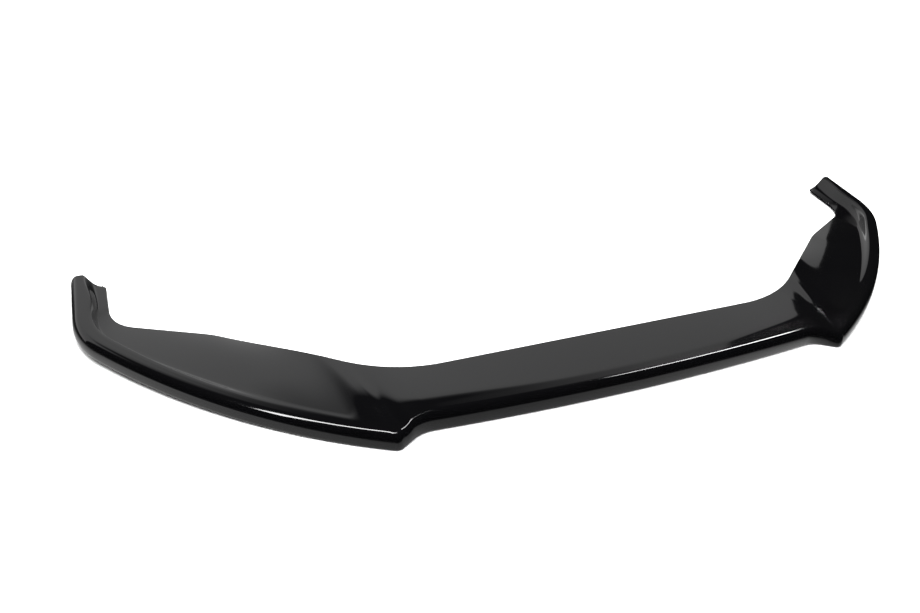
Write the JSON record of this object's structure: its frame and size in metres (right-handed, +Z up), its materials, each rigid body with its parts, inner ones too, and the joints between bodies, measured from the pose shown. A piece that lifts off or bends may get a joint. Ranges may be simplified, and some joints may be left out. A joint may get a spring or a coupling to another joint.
{
  "type": "front splitter lip",
  "caption": "Wide gloss black splitter lip for a car's front bumper: bowed middle, stepped swept wings, rounded nose and raised bars with flanges at the tips.",
  "frame": {"origin": "middle of the lip's bounding box in X and Y, on the plane its lower front edge and its flanges rest on", "axes": "+X across the car, +Y to the rear, so the nose faces -Y, +Z up"},
  "size_m": [1.706, 0.4942, 0.0465],
  "materials": {
    "lip_plastic": "high gloss black"
  },
  "bodies": {
    "root": {"splitter_lip": "lip_plastic"}
  },
  "joints": []
}
